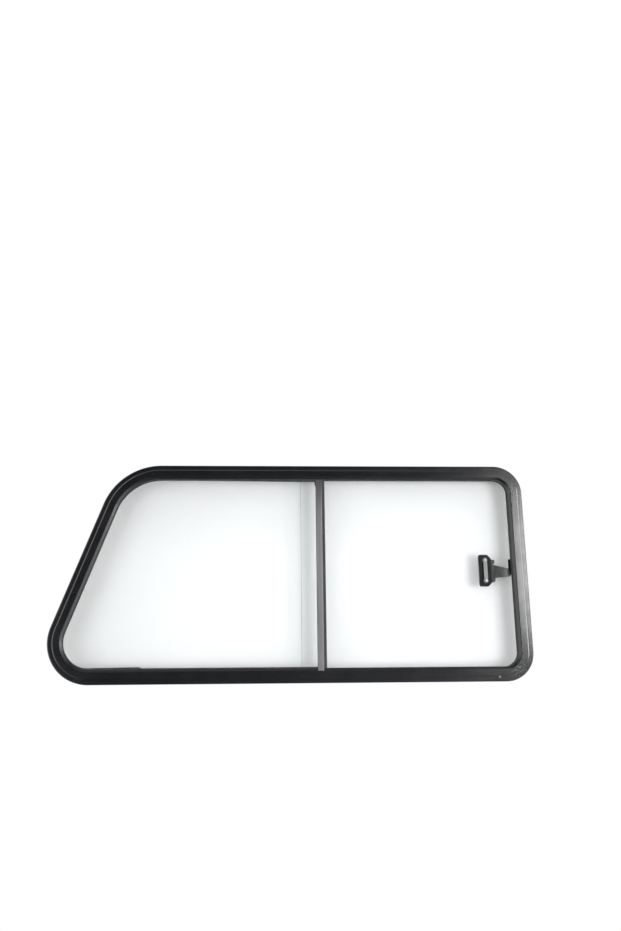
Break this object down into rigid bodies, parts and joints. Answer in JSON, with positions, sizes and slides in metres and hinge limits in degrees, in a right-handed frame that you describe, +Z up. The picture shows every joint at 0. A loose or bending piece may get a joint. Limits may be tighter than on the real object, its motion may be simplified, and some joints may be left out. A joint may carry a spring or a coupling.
{
  "type": "car sliding window",
  "caption": "Half sliding side window for a van or camper: bent frame with a slanted end, a fixed pane, a mullion and a latched pane that slides behind it.",
  "frame": {"origin": "rear face of the mounting flange, in the middle of the bottom run", "axes": "+X along the window towards the sliding end, +Z up, -Y outwards, so +Y points into the vehicle"},
  "size_m": [0.9999, 0.0505, 0.459],
  "materials": {
    "black_aluminium": "satin black anodised",
    "grey_aluminium": "satin grey anodised",
    "bare_metal": "milled",
    "steel": "brushed stainless",
    "black_rubber": "matte",
    "flocked_channel": "flocked",
    "black_plastic": "moulded, fine grain",
    "black_pvc": "satin, extruded",
    "nylon": "natural nylon",
    "clear_glass": "clear safety glass"
  },
  "bodies": {
    "frame": {"frame_profile": "black_aluminium", "outer_bead": "black_pvc", "frame_joint_plate": "bare_metal", "joint_rivets": "bare_metal", "fixed_glass": "clear_glass", "fixed_glass_seal": "black_rubber", "mullion_bar": "grey_aluminium", "mullion_wiper": "black_rubber", "mullion_top_cleat": "black_plastic", "mullion_bottom_cleat": "black_plastic", "slider_side_seal": "black_rubber", "top_run_channel": "flocked_channel", "bottom_run_channel": "flocked_channel", "jamb_run_channel": "flocked_channel", "top_travel_stop": "black_rubber", "bottom_travel_stop": "black_rubber", "latch_keeper": "black_plastic", "keeper_screws": "steel"},
    "sliding_pane": {"sliding_glass": "clear_glass", "bottom_glide_shoes": "nylon", "top_glide_shoes": "nylon", "latch_base": "black_plastic", "latch_clamp_strip": "steel", "latch_hole_bushes": "nylon", "latch_screws": "steel", "latch_pin": "steel"},
    "latch_lever": {"latch_lever": "black_plastic"}
  },
  "joints": [
    {"name": "pane_slide", "type": "slide", "parent": "frame", "child": "sliding_pane", "axis": [-1, 0, 0], "range_m": [0, 0.285]},
    {"name": "lever_turn", "type": "hinge", "parent": "sliding_pane", "child": "latch_lever", "pos_m": [0.43, 0.0255, 0.226], "axis": [0, 0, -1], "range_deg": [0, 20]}
  ]
}
